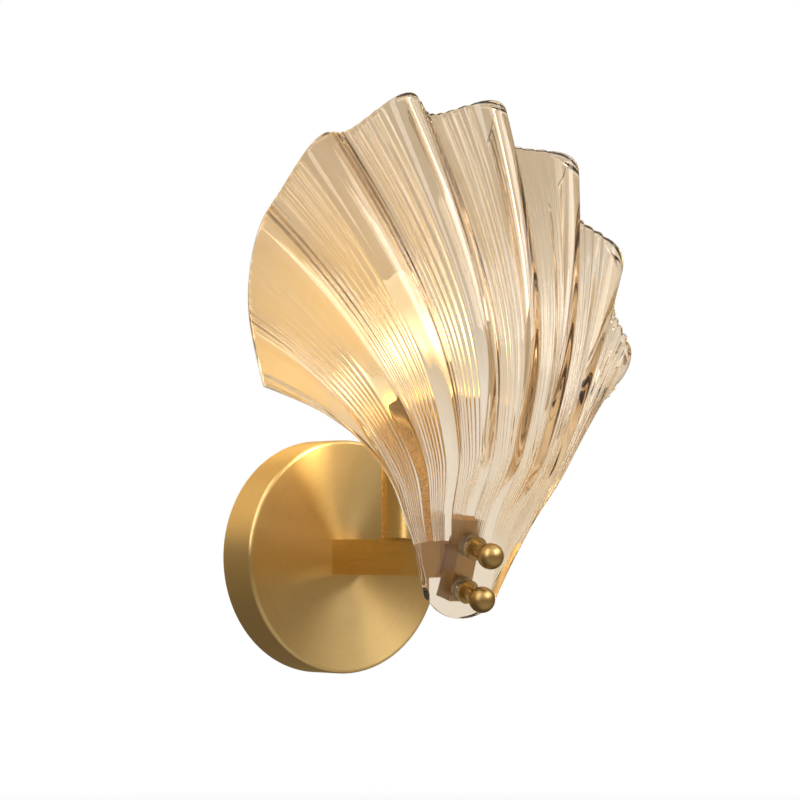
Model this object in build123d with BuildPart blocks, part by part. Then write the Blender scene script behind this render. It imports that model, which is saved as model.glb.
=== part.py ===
from build123d import *
import os
from math import ceil, cos, hypot, pi, radians, sin, sqrt, tan

# Wall sconce with a scalloped glass shade in the shape of a scallop shell.
# The wall is the plane Y = 0, the room lies towards -Y, +Z is up and +X is to the right for someone
# facing the wall. The origin is the middle of the wall bracket's back. Sizes are in millimetres, and a
# "depth" is a distance from the wall.

# ---- general fits ----
THREAD_GAP = 0.05       # radial clearance of every thread, drawn as a plain cylinder
HOLE_GAP = 0.3          # radial clearance of a plain hole round a screw or nipple
SEAT_GAP = 0.15         # clearance between glass and its washers

# ---- canopy and wall bracket ----
CANOPY_DIAMETER = 120
CANOPY_DEPTH = 24
CANOPY_WALL = 1.5
CANOPY_EDGE_RADIUS = 2
STRAP_WIDTH = 30
STRAP_END_LENGTH = 4
STRAP_THICKNESS = 1.5
FLANGE_WIDTH = 14
FLANGE_LENGTH = 13
FLANGE_GAP = 0.3
CABLE_HOLE_RADIUS = 10
WALL_SLOT_SPACING = 86
WALL_SLOT_LENGTH = 14
WALL_SLOT_WIDTH = 5
GRUB_RADIUS = 2
GRUB_LENGTH = 5
GRUB_SINK = 0.3
GRUB_HEX_RADIUS = 1.1
GRUB_HEX_DEPTH = 2

# ---- arm ----
ARM_SIDE = 18
ARM_WALL = 1.5
ARM_LENGTH = 90
ARM_PLUG_GAP = 0.05
ARM_PLUG_LENGTH = 8
NIPPLE_RADIUS = 5
NIPPLE_BORE_RADIUS = 3.5
NIPPLE_TAIL = 2
WASHER_THICKNESS = 1
WASHER_RADIUS = 9
NUT_ACROSS_FLATS = 14
NUT_HEIGHT = 3

# ---- lamp holder ----
HOLDER_REACH = 57       # axis of the lamp, in front of the canopy's face
CUP_DIAMETER = 31
CUP_HEIGHT = 69
CUP_WALL = 1
CUP_FLOOR = 1.5
CUP_FOOT_RADIUS = 0.8
BASE_RADIUS = 13
BASE_HEIGHT = 25
BASE_SOCKET_DEPTH = 7
BASE_CHAMFER = 1
HOLDER_WIRE_DEPTH = 7
HOLDER_SCREW_RADIUS = 1.5
HOLDER_SCREW_SINK = 1
NUT_TO_BASE = 0.5
SLEEVE_RADIUS = 12.5
SLEEVE_HEIGHT = 32
THREAD_SHELL_WALL = 0.9
THREAD_SHELL_HEIGHT = 28
THREAD_SHELL_TOP_GAP = 1
SOCKET_CONTACT_RADIUS = 2.5
SOCKET_CONTACT_HEIGHT = 5

# ---- bulb ----
BULB_CAP_RADIUS = 6.95
BULB_CAP_HEIGHT = 22
BULB_CAP_WALL = 0.4
BULB_CONTACT_RADIUS = 2.6
BULB_CONTACT_HEIGHT = 1.5
BULB_INSULATOR_HEIGHT = 3.5
BULB_GLASS_RADIUS = 17.5
BULB_GLASS_HEIGHT = 76
BULB_GLASS_WALL = 0.8
BULB_NECK_SINK = 4
BULB_BELLY_SHARE = 0.36      # height of the widest place, as a share of the glass
BULB_NECK_FLARE = 0.5        # slope of the neck's outline
BULB_TIP_RISE = 0.9          # slope of the tip's outline
FILAMENT_RADIUS = 0.9
FILAMENT_LENGTH = 34
FILAMENT_CIRCLE_RADIUS = 5
FILAMENT_COUNT = 4
FILAMENT_RISE = 10
STEM_RADIUS = 3
STEM_DISC_HEIGHT = 1

# ---- bracket that carries the shell ----
MOUNT_TILT = 18         # degrees that the glass leans forward as it rises
MOUNT_DROP = 3.6        # middle of the two studs below the arm's axis
BAR_WIDTH = 12
BAR_HEIGHT = 42
BAR_THICKNESS = 8.5
BAR_RISE = 3            # middle of the bar above the middle of the studs
BAR_EDGE_RADIUS = 1
SPIGOT_LENGTH = 10
SPIGOT_SCREW_SHIFT = 2
SPIGOT_SCREW_RADIUS = 2
SPIGOT_SCREW_HEAD_RADIUS = 3.5
SPIGOT_SCREW_HEAD_GAP = 0.1
SPIGOT_SCREW_LENGTH = 5.5
STUD_RADIUS = 2
STUD_SPACING = 22.3
STUD_INSERT = 6
PAD_RADIUS = 6
PAD_THICKNESS = 1.5
GLASS_HOLE_RADIUS = 4.5
HOLE_SLEEVE_GAP = 0.1
FRONT_WASHER_RADIUS = 6
FRONT_WASHER_THICKNESS = 1.2
BALL_RADIUS = 6.5
BALL_NECK_RADIUS = 3.8
BALL_REACH = 11.2       # centre of the ball in front of its washer
STUD_IN_BALL = 1.5      # stud's end past the ball's centre
BALL_BORE_SPARE = 1

# ---- glass shell ----
GLASS_THICKNESS = 6
SHELL_BULGE = 34        # deepest point of the shell in front of its seat
DOME_RISE = 98.6        # height of the deepest point above the seat
DOME_ROUNDING = 55
DOME_SLOPE = 0.5
DOME_WIDTH_FACTOR = 1.2
LIP_HALF_WIDTH = 31
LIP_HEIGHT = 26
LIP_RISE = -2.4         # centre of the lower lip's arc above the seat
LIP_SPREAD = 58         # degrees either side
RIM_RADIUS = 127
RIM_RISE = 108.6        # centre of the rim's arc above the seat
RIM_SPREAD = 101        # degrees either side
RIM_DROP = 12           # how far the outer scallops fall short of the rim's circle
RIM_SCALLOP = 1
RIM_CURL_BACK = 2.5
SCALLOPS_PER_SIDE = 3.83
FLUTE_DEPTH = 0.235     # share of a flute's width
FLUTE_DEPTH_AT_RIM = 0.1
FLUTE_START = 0.19      # share of a rib's length
FLUTE_BLEND = 0.2
FLUTE_FADE_OUT = 0.85   # share of the depth lost at the sides
EDGE_CURL = 5
EDGE_CURL_WIDTH = 0.15
EDGE_TUCK = 6
TONGUE_BOW = 5
SEAT_MARGIN = 3.5       # flat glass above the upper pad
SEAT_BLEND = 20         # height over which the flat seat turns into the dome
INNER_SPREAD = 14       # degrees that the outermost rib leans at the lip
OUTER_SPREAD = 64       # degrees that it leans at the rim
RIB_PULL_LOW = 84
RIB_PULL_HIGH = 84
RIB_PULL_LOW_LOSS = 34
RIB_PULL_HIGH_LOSS = 42
REED_EDGES = (0.044, 0.115, 0.203, 0.283)   # shares of a scallop, from the middle of its trough
REED_DEPTH = 0.9        # groove between two of the reeds that fill a trough, at its widest
REED_START = 0.1        # share of a rib's length
REED_BLEND = 0.16
REED_FULL_WIDTH = 58    # scallop whose reeds have the full depth
REED_WIDTH_POWER = 0.7
REED_STEPS = 4
CREST_STEPS = 6         # across the plain band between two troughs
ROWS = 24

# ---- wiring ----
BLOCK_WIDTH = 21
BLOCK_HEIGHT = 16
BLOCK_DEPTH = 12
BLOCK_LEFT = -14
BLOCK_TOP = -17
TERMINAL_PITCH = 7
TERMINAL_BORE_RADIUS = 1.6
TERMINAL_BORE_DEPTH = 7
TERMINAL_SCREW_RADIUS = 1.4
TERMINAL_SCREW_SINK = 0.5
BLOCK_SCREW_RADIUS = 1.1
BLOCK_SCREW_HEAD_RADIUS = 2.2
BLOCK_SCREW_HEAD_HEIGHT = 1.5
WIRE_RADIUS = 1
WIRE_SPACING = 3.2
WIRE_GAP = 0.1
WIRE_BEND = 4
WIRE_RISE = 3           # straight stretch above the terminal block
WIRE_LEAD = 6.5         # straight stretch below the arm's axis
EARTH_LOOP_WIDTH = 7.6
EARTH_LOOP_RISE = 6
EARTH_LOOP_BEND = 3
EARTH_SCREW_RADIUS = 1.5
EARTH_SCREW_HEAD_RADIUS = 2.6
EARTH_SCREW_HEAD_HEIGHT = 2
EARTH_SCREW_SINK = 0.2
EARTH_BARREL_LENGTH = 4
EARTH_BARREL_WALL = 0.8
EARTH_BARREL_ROOT = 1
EARTH_RING_RADIUS = 3.8
EARTH_RING_THICKNESS = 0.8

# ---- worked-out sizes ----
canopy_radius = CANOPY_DIAMETER / 2
canopy_inner_radius = canopy_radius - CANOPY_WALL
arm_half = ARM_SIDE / 2
arm_bore = ARM_SIDE - 2 * ARM_WALL
plug_side = arm_bore - 2 * ARM_PLUG_GAP
tilt = radians(MOUNT_TILT)
tapped_radius = NIPPLE_RADIUS + THREAD_GAP
lamp_depth = CANOPY_DEPTH + HOLDER_REACH
arm_front_depth = CANOPY_DEPTH + ARM_LENGTH


def facing(depth):
    """Plane parallel to the wall, looking into the room."""
    return Plane.XZ.offset(depth)


def level(height):
    """Horizontal plane with its origin on the lamp's axis."""
    return Plane((0, -lamp_depth, height))


def save(builder, name):
    """Labels a finished piece and writes its STEP file."""
    builder.part.label = name
    export_step(builder.part, f"parts/{name}.step")


# ---- where the shell sits ----
bar_front_depth = arm_front_depth + BAR_THICKNESS / cos(tilt) - MOUNT_DROP * tan(tilt)
mount_plane = Plane((0, -bar_front_depth, -MOUNT_DROP), x_dir=(1, 0, 0), z_dir=(0, -cos(tilt), -sin(tilt)))
glass_back = PAD_THICKNESS + SEAT_GAP
glass_front = glass_back + GLASS_THICKNESS
seat_depth = bar_front_depth + glass_front / cos(tilt)
apex_depth = seat_depth + SHELL_BULGE
seat_top = (STUD_SPACING / 2 + PAD_RADIUS) * cos(tilt) + SEAT_MARGIN


# The shell is a fan of ribs: u runs across it from -1 to 1, and v along each rib from the lip, 0,
# to the rim, 1.
def ease(share):
    share = min(max(share, 0), 1)
    return share * share * (3 - 2 * share)


def trough(u):
    """0 on the crest of a scallop and 1 in the middle of the trough between two."""
    return (1 + cos(2 * pi * u * SCALLOPS_PER_SIDE)) / 2


def reed_groove(u):
    """0 along the middle of each reed and of each plain crest, and 1 in the grooves between them."""
    place = abs(u * SCALLOPS_PER_SIDE - round(u * SCALLOPS_PER_SIDE))
    edges = (-REED_EDGES[0], *REED_EDGES, 1 - REED_EDGES[-1])
    low, high = next(pair for pair in zip(edges, edges[1:]) if place <= pair[1])
    across = abs(2 * place - low - high) / (high - low)
    return across ** (2 if high < 0.5 else 6)


def rib_point(u, v):
    """Sideways and upward place on the rib u, on a cubic curve from lip to rim, above the seat."""
    lip_angle = radians(LIP_SPREAD) * u
    rim_angle = radians(RIM_SPREAD) * u
    rim_radius = RIM_RADIUS - RIM_DROP * abs(u) ** 4 - RIM_SCALLOP * trough(u)
    low_lean = radians(INNER_SPREAD) * u
    high_lean = radians(OUTER_SPREAD) * abs(u) ** 1.15 * (1 if u > 0 else -1)
    low_pull = RIB_PULL_LOW - RIB_PULL_LOW_LOSS * u * u
    high_pull = RIB_PULL_HIGH - RIB_PULL_HIGH_LOSS * u * u
    start = (LIP_HALF_WIDTH * sin(lip_angle), LIP_RISE - LIP_HEIGHT * cos(lip_angle))
    end = (rim_radius * sin(rim_angle), RIM_RISE + rim_radius * cos(rim_angle))
    low = (start[0] + low_pull * sin(low_lean), start[1] + low_pull * cos(low_lean))
    high = (end[0] - high_pull * sin(high_lean), end[1] - high_pull * cos(high_lean))
    weights = ((1 - v) ** 3, 3 * (1 - v) ** 2 * v, 3 * (1 - v) * v * v, v**3)
    return [sum(w * point[i] for w, point in zip(weights, (start, low, high, end))) for i in (0, 1)]


def crest_point(u, v):
    """Smooth front of the shell, over which the flutes are cut."""
    x, rise = rib_point(u, v)
    distance = hypot(DOME_WIDTH_FACTOR * x, rise - DOME_RISE)
    dome = apex_depth - DOME_SLOPE * (hypot(distance, DOME_ROUNDING) - DOME_ROUNDING)
    tongue = seat_depth + rise * tan(tilt) - TONGUE_BOW * (x / LIP_HALF_WIDTH) ** 4
    blend = ease((rise - seat_top) / SEAT_BLEND)
    depth = tongue + blend * (dome - tongue)
    depth -= RIM_CURL_BACK * v**5 + EDGE_TUCK * abs(u) ** 3 * 4 * v * (1 - v)
    return Vector(x, -depth, rise - MOUNT_DROP)


def glass_point(u, v, below, reeded=False):
    """Point of the fluted glass, the given distance below its front, with its reeds or without."""
    step = 0.001
    across = crest_point(min(u + step, 1), v) - crest_point(max(u - step, -1), v)
    along = crest_point(u, min(v + step, 1)) - crest_point(u, max(v - step, 0))
    outward = across.cross(along).normalized()
    half = 0.5 / SCALLOPS_PER_SIDE
    middle = min(max(u, half - 1), 1 - half)
    width = (crest_point(middle + half, v) - crest_point(middle - half, v)).length
    share = (FLUTE_DEPTH + FLUTE_DEPTH_AT_RIM * v**5) * (1 - FLUTE_FADE_OUT * u * u)
    flute = share * width * trough(u) * ease((v - FLUTE_START) / FLUTE_BLEND)
    curl = EDGE_CURL * max((abs(u) - 1 + EDGE_CURL_WIDTH) / EDGE_CURL_WIDTH, 0) ** 2
    reed_depth = REED_DEPTH * min(width / REED_FULL_WIDTH, 1) ** REED_WIDTH_POWER
    groove = reed_depth * reed_groove(u) * ease((v - REED_START) / REED_BLEND) if reeded else 0
    return crest_point(u, v) - outward * (flute + curl + groove + below)

os.makedirs("parts", exist_ok=True)
# ---- wall bracket ----
flange_reach = sqrt(canopy_inner_radius**2 - (FLANGE_WIDTH / 2) ** 2) - FLANGE_GAP
grub_depth = STRAP_THICKNESS + FLANGE_LENGTH / 2
block_middle = BLOCK_LEFT + BLOCK_WIDTH / 2
terminals = [block_middle + TERMINAL_PITCH * step for step in (-1, 0, 1)]
wire_depth = STRAP_THICKNESS + BLOCK_DEPTH / 2
earth_screw_x = terminals[2] + EARTH_LOOP_WIDTH
earth_screw_z = BLOCK_TOP - EARTH_BARREL_LENGTH - EARTH_RING_RADIUS + EARTH_BARREL_ROOT
block_screw_x = (terminals[1] + terminals[2]) / 2
block_screw_z = BLOCK_TOP - BLOCK_HEIGHT / 2

with BuildPart() as wall_bracket:
    with BuildSketch(facing(0)):
        Rectangle(STRAP_WIDTH, 2 * flange_reach - 2 * STRAP_END_LENGTH)
        Rectangle(FLANGE_WIDTH, 2 * flange_reach)
        Circle(CABLE_HOLE_RADIUS, mode=Mode.SUBTRACT)
        with Locations((0, -WALL_SLOT_SPACING / 2), (0, WALL_SLOT_SPACING / 2)):
            SlotOverall(WALL_SLOT_LENGTH, WALL_SLOT_WIDTH, rotation=90, mode=Mode.SUBTRACT)
        with Locations((earth_screw_x, earth_screw_z)):
            Circle(EARTH_SCREW_RADIUS + THREAD_GAP, mode=Mode.SUBTRACT)
        with Locations((block_screw_x, block_screw_z)):
            Circle(BLOCK_SCREW_RADIUS + THREAD_GAP, mode=Mode.SUBTRACT)
    extrude(amount=STRAP_THICKNESS)
    with BuildSketch(facing(STRAP_THICKNESS)):
        with Locations((0, STRAP_THICKNESS / 2 - flange_reach), (0, flange_reach - STRAP_THICKNESS / 2)):
            Rectangle(FLANGE_WIDTH, STRAP_THICKNESS)
    extrude(amount=FLANGE_LENGTH)
    with BuildSketch(Plane.XY):
        with Locations((0, -grub_depth)):
            Circle(GRUB_RADIUS + THREAD_GAP)
    extrude(amount=canopy_radius, both=True, mode=Mode.SUBTRACT)
save(wall_bracket, "wall_bracket")

# ---- canopy ----
with BuildPart() as canopy:
    with BuildSketch(facing(0)):
        Circle(canopy_radius)
    extrude(amount=CANOPY_DEPTH)
    fillet(canopy.edges().group_by(Axis.Y)[0], CANOPY_EDGE_RADIUS)
    with BuildSketch(facing(0)):
        Circle(canopy_inner_radius)
    extrude(amount=CANOPY_DEPTH - CANOPY_WALL, mode=Mode.SUBTRACT)
    with BuildSketch(facing(0)):
        Circle(NIPPLE_RADIUS + HOLE_GAP)
    extrude(amount=CANOPY_DEPTH, mode=Mode.SUBTRACT)
    with BuildSketch(Plane.XY):
        with Locations((0, -grub_depth)):
            Circle(GRUB_RADIUS + HOLE_GAP)
    extrude(amount=canopy_radius, both=True, mode=Mode.SUBTRACT)
save(canopy, "canopy")

with BuildPart() as canopy_grub_screws:
    for side in (1, -1):
        with BuildSketch(Plane.XY.offset(side * (canopy_radius - GRUB_SINK))):
            with Locations((0, -grub_depth)):
                Circle(GRUB_RADIUS)
        extrude(amount=-side * GRUB_LENGTH)
        with BuildSketch(Plane.XY.offset(side * (canopy_radius - GRUB_SINK))):
            with Locations((0, -grub_depth)):
                RegularPolygon(GRUB_HEX_RADIUS, 6)
        extrude(amount=-side * GRUB_HEX_DEPTH, mode=Mode.SUBTRACT)
save(canopy_grub_screws, "canopy_grub_screws")

# ---- arm ----
spigot_screw_depth = arm_front_depth - SPIGOT_LENGTH / 2 - SPIGOT_SCREW_SHIFT
arm_washer_depth = CANOPY_DEPTH - CANOPY_WALL - WASHER_THICKNESS
arm_nut_depth = arm_washer_depth - NUT_HEIGHT
arm_nipple_end = arm_nut_depth - NIPPLE_TAIL

with BuildPart() as arm_tube:
    with BuildSketch(facing(CANOPY_DEPTH)):
        Rectangle(ARM_SIDE, ARM_SIDE)
        Rectangle(arm_bore, arm_bore, mode=Mode.SUBTRACT)
    extrude(amount=ARM_LENGTH + ARM_SIDE)
    split(bisect_by=mount_plane.offset(-BAR_THICKNESS), keep=Keep.BOTTOM)
    with BuildSketch(level(0)):
        Circle(tapped_radius)
    extrude(amount=arm_half, mode=Mode.SUBTRACT)
    with BuildSketch(Plane((0, -spigot_screw_depth, 0))):
        Circle(SPIGOT_SCREW_HEAD_RADIUS + SPIGOT_SCREW_HEAD_GAP)
    extrude(amount=-arm_half, mode=Mode.SUBTRACT)
save(arm_tube, "arm_tube")

with BuildPart() as arm_rear_plug:
    with BuildSketch(facing(CANOPY_DEPTH)):
        Rectangle(plug_side, plug_side)
        Circle(tapped_radius, mode=Mode.SUBTRACT)
    extrude(amount=ARM_PLUG_LENGTH)
save(arm_rear_plug, "arm_rear_plug")

with BuildPart() as arm_nipple:
    with BuildSketch(facing(arm_nipple_end)):
        Circle(NIPPLE_RADIUS)
        Circle(NIPPLE_BORE_RADIUS, mode=Mode.SUBTRACT)
    extrude(amount=CANOPY_DEPTH + ARM_PLUG_LENGTH - arm_nipple_end)
save(arm_nipple, "arm_nipple")

with BuildPart() as arm_nipple_washer:
    with BuildSketch(facing(arm_washer_depth)):
        Circle(WASHER_RADIUS)
        Circle(tapped_radius, mode=Mode.SUBTRACT)
    extrude(amount=WASHER_THICKNESS)
save(arm_nipple_washer, "arm_nipple_washer")

with BuildPart() as arm_nipple_nut:
    with BuildSketch(facing(arm_nut_depth)):
        RegularPolygon(NUT_ACROSS_FLATS / 2, 6, major_radius=False)
        Circle(tapped_radius, mode=Mode.SUBTRACT)
    extrude(amount=NUT_HEIGHT)
save(arm_nipple_nut, "arm_nipple_nut")

# ---- lamp holder ----
cup_radius = CUP_DIAMETER / 2
cup_bore_radius = cup_radius - CUP_WALL
cup_floor_top = arm_half + CUP_FLOOR
holder_nut_bottom = cup_floor_top + WASHER_THICKNESS
base_bottom = holder_nut_bottom + NUT_HEIGHT + NUT_TO_BASE
socket_top = base_bottom + BASE_SOCKET_DEPTH
base_top = base_bottom + BASE_HEIGHT
sleeve_top = base_top + SLEEVE_HEIGHT
thread_shell_top = sleeve_top - THREAD_SHELL_TOP_GAP
thread_bore_radius = BULB_CAP_RADIUS + THREAD_GAP

with BuildPart() as holder_cup:
    with BuildSketch(level(arm_half)):
        Circle(cup_radius)
    extrude(amount=CUP_HEIGHT)
    fillet(holder_cup.edges().group_by(Axis.Z)[0], CUP_FOOT_RADIUS)
    with BuildSketch(level(cup_floor_top)):
        Circle(cup_bore_radius)
    extrude(amount=CUP_HEIGHT, mode=Mode.SUBTRACT)
    with BuildSketch(level(arm_half)):
        Circle(NIPPLE_RADIUS + HOLE_GAP)
    extrude(amount=CUP_FLOOR, mode=Mode.SUBTRACT)
save(holder_cup, "holder_cup")

with BuildPart() as holder_nipple:
    with BuildSketch(level(arm_half - ARM_WALL)):
        Circle(NIPPLE_RADIUS)
        Circle(NIPPLE_BORE_RADIUS, mode=Mode.SUBTRACT)
    extrude(amount=socket_top - arm_half + ARM_WALL)
save(holder_nipple, "holder_nipple")

with BuildPart() as holder_washer:
    with BuildSketch(level(cup_floor_top)):
        Circle(WASHER_RADIUS)
        Circle(tapped_radius, mode=Mode.SUBTRACT)
    extrude(amount=WASHER_THICKNESS)
save(holder_washer, "holder_washer")

with BuildPart() as holder_nut:
    with BuildSketch(level(holder_nut_bottom)):
        RegularPolygon(NUT_ACROSS_FLATS / 2, 6, major_radius=False)
        Circle(tapped_radius, mode=Mode.SUBTRACT)
    extrude(amount=NUT_HEIGHT)
save(holder_nut, "holder_nut")

with BuildPart() as holder_base:
    with BuildSketch(level(base_bottom)):
        Circle(BASE_RADIUS)
    extrude(amount=BASE_HEIGHT)
    chamfer(holder_base.edges().group_by(Axis.Z)[0], BASE_CHAMFER)
    with BuildSketch(level(base_bottom)):
        Circle(tapped_radius)
    extrude(amount=BASE_SOCKET_DEPTH, mode=Mode.SUBTRACT)
    with BuildSketch(level(socket_top)):
        with Locations((-WIRE_SPACING / 2, 0), (WIRE_SPACING / 2, 0)):
            Circle(WIRE_RADIUS + WIRE_GAP)
    extrude(amount=HOLDER_WIRE_DEPTH, mode=Mode.SUBTRACT)
    with BuildSketch(Plane.YZ.offset(-BASE_RADIUS)):
        with Locations((-lamp_depth, socket_top + HOLDER_WIRE_DEPTH / 2)):
            Circle(HOLDER_SCREW_RADIUS + THREAD_GAP)
    extrude(amount=2 * BASE_RADIUS, mode=Mode.SUBTRACT)
save(holder_base, "holder_base")

holder_screw_tip = WIRE_SPACING / 2 + WIRE_RADIUS + WIRE_GAP
with BuildPart() as holder_screws:
    for side in (1, -1):
        with BuildSketch(Plane.YZ.offset(side * holder_screw_tip)):
            with Locations((-lamp_depth, socket_top + HOLDER_WIRE_DEPTH / 2)):
                Circle(HOLDER_SCREW_RADIUS)
        extrude(amount=side * (BASE_RADIUS - holder_screw_tip - HOLDER_SCREW_SINK))
save(holder_screws, "holder_screws")

with BuildPart() as holder_contact:
    with BuildSketch(level(base_top)):
        Circle(SOCKET_CONTACT_RADIUS)
    extrude(amount=SOCKET_CONTACT_HEIGHT)
    fillet(holder_contact.edges().group_by(Axis.Z)[-1], SOCKET_CONTACT_HEIGHT / 2)
save(holder_contact, "holder_contact")

with BuildPart() as holder_sleeve:
    with BuildSketch(level(base_top)):
        Circle(SLEEVE_RADIUS)
        Circle(thread_bore_radius + THREAD_SHELL_WALL + THREAD_GAP, mode=Mode.SUBTRACT)
    extrude(amount=SLEEVE_HEIGHT)
save(holder_sleeve, "holder_sleeve")

with BuildPart() as holder_thread_shell:
    with BuildSketch(level(thread_shell_top)):
        Circle(thread_bore_radius + THREAD_SHELL_WALL)
        Circle(thread_bore_radius, mode=Mode.SUBTRACT)
    extrude(amount=-THREAD_SHELL_HEIGHT)
save(holder_thread_shell, "holder_thread_shell")

# ---- bulb ----
bulb_contact_bottom = base_top + SOCKET_CONTACT_HEIGHT
insulator_bottom = bulb_contact_bottom + BULB_CONTACT_HEIGHT
cap_bottom = insulator_bottom + BULB_INSULATOR_HEIGHT
cap_top = cap_bottom + BULB_CAP_HEIGHT
neck_radius = BULB_CAP_RADIUS - BULB_CAP_WALL - THREAD_GAP
neck_bottom = cap_top - BULB_NECK_SINK
stem_bottom = cap_bottom
filament_bottom = cap_top + FILAMENT_RISE

with BuildPart() as bulb_contact:
    with BuildSketch(level(bulb_contact_bottom)):
        Circle(BULB_CONTACT_RADIUS)
    extrude(amount=BULB_CONTACT_HEIGHT)
    fillet(bulb_contact.edges().group_by(Axis.Z)[0], BULB_CONTACT_HEIGHT / 2)
save(bulb_contact, "bulb_contact")

with BuildPart() as bulb_insulator:
    with BuildSketch(level(insulator_bottom)):
        Circle(BULB_CONTACT_RADIUS)
    with BuildSketch(level(cap_bottom)):
        Circle(BULB_CAP_RADIUS - BULB_CAP_WALL)
    loft()
save(bulb_insulator, "bulb_insulator")

with BuildPart() as bulb_cap:
    with BuildSketch(level(cap_bottom)):
        Circle(BULB_CAP_RADIUS)
        Circle(BULB_CAP_RADIUS - BULB_CAP_WALL, mode=Mode.SUBTRACT)
    extrude(amount=BULB_CAP_HEIGHT)
save(bulb_cap, "bulb_cap")


def bulb_section(wall):
    """Half outline of the candle bulb, the given distance inside its glass."""
    foot = (neck_radius - wall, neck_bottom)
    neck = (neck_radius - wall, cap_top)
    belly = (BULB_GLASS_RADIUS - wall, cap_top + BULB_GLASS_HEIGHT * BULB_BELLY_SHARE)
    tip = (0, cap_top + BULB_GLASS_HEIGHT - wall)
    Line((0, neck_bottom), foot)
    Line(foot, neck)
    Spline(neck, belly, tangents=[(BULB_NECK_FLARE, 1), (0, 1)])
    Spline(belly, tip, tangents=[(0, 1), (-1, BULB_TIP_RISE)])
    Line(tip, (0, neck_bottom))


with BuildPart() as bulb_glass:
    for wall, mode in ((0, Mode.ADD), (BULB_GLASS_WALL, Mode.SUBTRACT)):
        with BuildSketch(Plane((0, -lamp_depth, 0), x_dir=(1, 0, 0), z_dir=(0, -1, 0))):
            with BuildLine():
                bulb_section(wall)
            make_face()
        revolve(axis=Axis((0, -lamp_depth, 0), (0, 0, 1)), mode=mode)
save(bulb_glass, "bulb_glass")

with BuildPart() as bulb_stem:
    with BuildSketch(level(stem_bottom)):
        Circle(STEM_RADIUS)
    extrude(amount=filament_bottom - stem_bottom)
    with BuildSketch(level(filament_bottom)):
        Circle(FILAMENT_CIRCLE_RADIUS + FILAMENT_RADIUS)
    extrude(amount=STEM_DISC_HEIGHT)
    with BuildSketch(level(filament_bottom)):
        Circle(STEM_RADIUS / 3)
    extrude(amount=FILAMENT_LENGTH + STEM_DISC_HEIGHT)
save(bulb_stem, "bulb_stem")

with BuildPart() as bulb_filaments:
    with BuildSketch(level(filament_bottom + STEM_DISC_HEIGHT)):
        with PolarLocations(FILAMENT_CIRCLE_RADIUS, FILAMENT_COUNT):
            Circle(FILAMENT_RADIUS)
    extrude(amount=FILAMENT_LENGTH)
save(bulb_filaments, "bulb_filaments")

# ---- bracket that carries the shell ----
stud_places = [(0, -STUD_SPACING / 2), (0, STUD_SPACING / 2)]
tapped_stud_radius = STUD_RADIUS + THREAD_GAP
washer_back = glass_front + SEAT_GAP
nut_back = washer_back + FRONT_WASHER_THICKNESS
ball_middle = nut_back + BALL_REACH
stud_end = ball_middle + STUD_IN_BALL

with BuildPart() as shell_bracket:
    with BuildSketch(facing(arm_front_depth - SPIGOT_LENGTH)):
        Rectangle(plug_side, plug_side)
    extrude(amount=SPIGOT_LENGTH + ARM_SIDE)
    split(bisect_by=mount_plane.offset(-BAR_THICKNESS), keep=Keep.BOTTOM)
    with BuildSketch(mount_plane.offset(-BAR_THICKNESS)):
        with Locations((0, BAR_RISE)):
            RectangleRounded(BAR_WIDTH, BAR_HEIGHT, BAR_EDGE_RADIUS)
    extrude(amount=BAR_THICKNESS)
    with BuildSketch(mount_plane):
        with Locations(*stud_places):
            Circle(tapped_stud_radius)
    extrude(amount=-STUD_INSERT, mode=Mode.SUBTRACT)
    with BuildSketch(Plane((0, -spigot_screw_depth, -arm_half))):
        Circle(SPIGOT_SCREW_RADIUS + THREAD_GAP)
    extrude(amount=ARM_WALL + SPIGOT_SCREW_LENGTH, mode=Mode.SUBTRACT)
save(shell_bracket, "shell_bracket")

with BuildPart() as bracket_screw:
    with BuildSketch(Plane((0, -spigot_screw_depth, -arm_half))):
        Circle(SPIGOT_SCREW_HEAD_RADIUS)
    extrude(amount=ARM_WALL)
    with BuildSketch(Plane((0, -spigot_screw_depth, -arm_half))):
        Circle(SPIGOT_SCREW_RADIUS)
    extrude(amount=ARM_WALL + SPIGOT_SCREW_LENGTH)
save(bracket_screw, "bracket_screw")

with BuildPart() as shell_studs:
    with BuildSketch(mount_plane.offset(-STUD_INSERT)):
        with Locations(*stud_places):
            Circle(STUD_RADIUS)
    extrude(amount=STUD_INSERT + stud_end)
save(shell_studs, "shell_studs")

with BuildPart() as rear_pads:
    with BuildSketch(mount_plane):
        with Locations(*stud_places):
            Circle(PAD_RADIUS)
        with Locations(*stud_places):
            Circle(tapped_stud_radius, mode=Mode.SUBTRACT)
    extrude(amount=PAD_THICKNESS)
save(rear_pads, "rear_pads")

with BuildPart() as hole_sleeves:
    with BuildSketch(mount_plane.offset(glass_back)):
        with Locations(*stud_places):
            Circle(GLASS_HOLE_RADIUS - HOLE_SLEEVE_GAP)
        with Locations(*stud_places):
            Circle(tapped_stud_radius, mode=Mode.SUBTRACT)
    extrude(amount=GLASS_THICKNESS)
save(hole_sleeves, "hole_sleeves")

# ---- glass shell ----
# Each skin is a stack of ruled strips between smooth rows of points, from the lip to the rim. The
# points stand closer over the reeds, and both skins have them at the same places.
grooves = sorted((*[-edge for edge in REED_EDGES], *REED_EDGES, 1 - REED_EDGES[-1]))
column_places = [-1, 1]
for scallop in range(-ceil(SCALLOPS_PER_SIDE), ceil(SCALLOPS_PER_SIDE) + 1):
    for low, high in zip(grooves, grooves[1:]):
        steps = REED_STEPS if high < 0.5 else CREST_STEPS
        places = [low + (high - low) * step / steps for step in range(steps)]
        column_places += [(scallop + place) / SCALLOPS_PER_SIDE for place in places]
column_places = sorted(place for place in column_places if abs(place) <= 1)


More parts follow.
